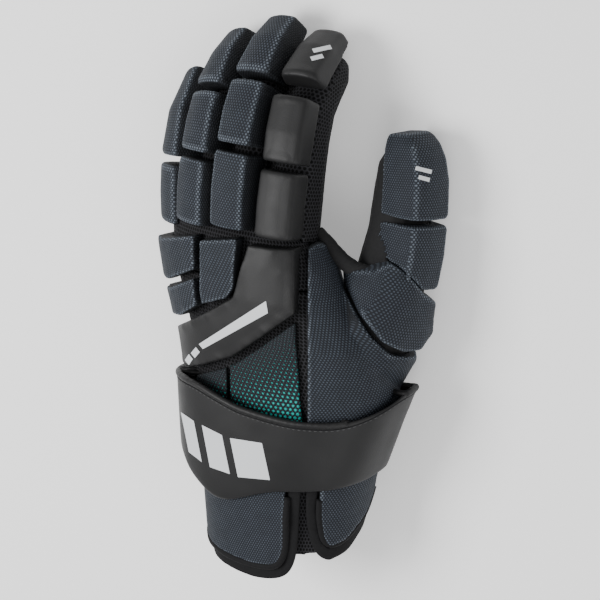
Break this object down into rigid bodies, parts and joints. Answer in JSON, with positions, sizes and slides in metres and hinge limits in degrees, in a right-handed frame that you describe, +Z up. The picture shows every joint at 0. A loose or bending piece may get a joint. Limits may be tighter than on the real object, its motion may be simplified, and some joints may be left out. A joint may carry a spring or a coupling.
{
  "type": "padded lacrosse glove",
  "caption": "Left-hand padded lacrosse glove: segmented foam rolls over mesh fingers and thumb, padded back, wide wrist strap and bound cuff flaps, open for a hand.",
  "frame": {"origin": "centre of the footprint, on the surface the glove lies on", "axes": "+X towards the thumb, +Y towards the fingertips, +Z up out of the back of the hand"},
  "size_m": [0.1768, 0.3188, 0.0803],
  "materials": {
    "leather": "fine grain, satin",
    "weave": "dotted technical weave",
    "mesh": "open air mesh",
    "tape": "woven edging",
    "vent": "perforated mesh over teal"
  },
  "bodies": {
    "root": {"hand_liner": "mesh", "knuckle_liner": "mesh", "index_stall": "mesh", "middle_stall": "mesh", "ring_stall": "mesh", "pinky_stall": "mesh", "thumb_stall": "mesh", "index_roll_1": "leather", "index_roll_2": "leather", "index_roll_3": "leather", "middle_roll_1": "weave", "middle_roll_2": "weave", "middle_roll_3": "weave", "ring_roll_1": "weave", "ring_roll_2": "weave", "ring_roll_3": "weave", "pinky_roll_1": "weave", "pinky_roll_2": "weave", "thumb_base_pad": "weave", "back_pad_middle": "weave", "back_pad_outer_1": "weave", "back_pad_outer_2": "weave", "back_band": "leather", "vent_panel": "vent", "vent_panel_small": "vent", "side_panel": "weave", "thumb_roll_middle": "weave", "thumb_roll_tip": "weave", "palm_panel": "leather", "cuff_flap_back": "weave", "flap_binding_back": "tape", "cuff_flap_side": "weave", "flap_binding_side": "tape", "wrist_strap": "leather"}
  },
  "joints": []
}
